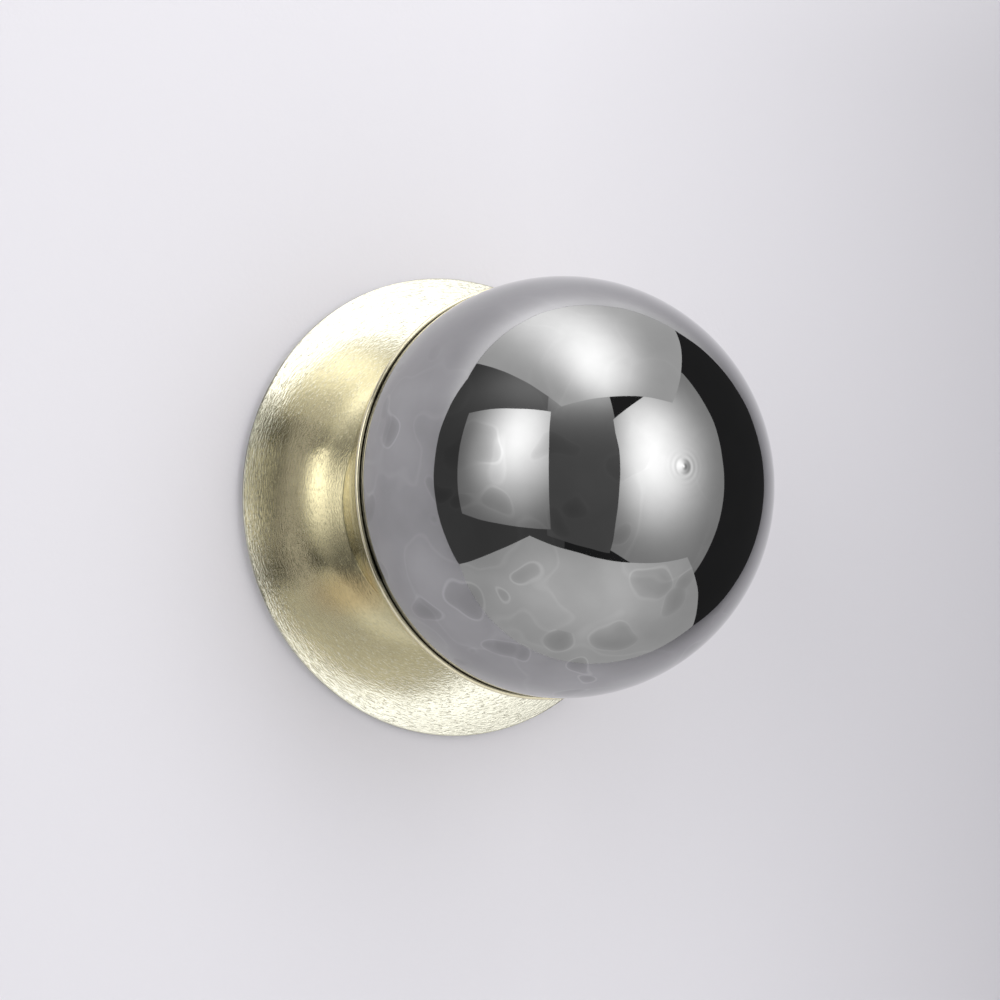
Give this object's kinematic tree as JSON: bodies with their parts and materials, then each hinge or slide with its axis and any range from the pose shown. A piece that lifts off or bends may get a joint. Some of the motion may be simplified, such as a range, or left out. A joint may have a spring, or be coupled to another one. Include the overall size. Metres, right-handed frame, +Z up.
{
  "type": "globe wall sconce",
  "caption": "Wall light with a round smoked mirror glass globe that screws into a spun brass cup on a round brushed brass wall plate, over a hidden lampholder and bulb.",
  "frame": {"origin": "on the lamp's axis, in the plane of the wall that the bracket and plate stand on", "axes": "+Z up, +Y into the wall, the globe in front on -Y, +X to the right seen from the front"},
  "size_m": [0.1444, 0.1258, 0.1444],
  "materials": {
    "brass": "brushed and lacquered, bright",
    "smoke_glass": "smoked, mirrored, watery ripples",
    "zinc_steel": "zinc plated",
    "rivet_steel": "plated",
    "screw_steel": "zinc plated",
    "foam": "matt foam",
    "silicone": "satin silicone",
    "ceramic": "unglazed white ceramic",
    "contact_alloy": "plain",
    "bulb_plastic": "satin",
    "bulb_cover": "frosted",
    "pin_wire": "plain",
    "led_board": "white coated",
    "led_chip": "phosphor yellow",
    "terminal_plastic": "natural",
    "live_sleeve": "brown silicone sleeve",
    "neutral_sleeve": "blue silicone sleeve",
    "earth_sleeve": "green and yellow sleeve"
  },
  "bodies": {
    "fixture": {"wall_bracket": "zinc_steel", "wall_gasket": "foam", "backplate": "brass", "globe_cup": "brass", "lamp_base": "zinc_steel", "globe_collar": "zinc_steel", "base_rivets": "rivet_steel", "fixing_washers": "screw_steel", "fixing_screws": "screw_steel", "lampholder_body": "ceramic", "holder_screws": "screw_steel", "lampholder_contacts": "contact_alloy", "lead_grommet": "silicone", "terminal_block": "terminal_plastic", "terminal_tubes": "contact_alloy", "terminal_screws": "screw_steel", "block_screw": "screw_steel", "live_lead": "live_sleeve", "neutral_lead": "neutral_sleeve", "earth_lead": "earth_sleeve", "earth_tag": "contact_alloy", "earth_washer": "screw_steel", "earth_screw": "screw_steel"},
    "seal": {"globe_seal": "silicone"},
    "globe": {"glass_globe": "smoke_glass"},
    "bulb": {"bulb_base": "bulb_plastic", "bulb_envelope": "bulb_cover", "bulb_pins": "pin_wire", "bulb_core": "led_board", "bulb_leds": "led_chip"}
  },
  "joints": [
    {"name": "globe_travel", "type": "slide", "parent": "fixture", "child": "seal", "axis": [0, -1, 0], "range_m": [0, 0.0052]},
    {"name": "globe_turn", "type": "hinge", "parent": "seal", "child": "globe", "pos_m": [0, 0, 0], "axis": [0, -1, 0], "range_deg": [0, 450]},
    {"name": "bulb_pull", "type": "slide", "parent": "fixture", "child": "bulb", "axis": [0, -1, 0], "range_m": [0, 0.018]}
  ],
  "couplings": [
    {"joint": "globe_travel", "follows": "globe_turn", "m_per_rad": 0.00063662}
  ]
}
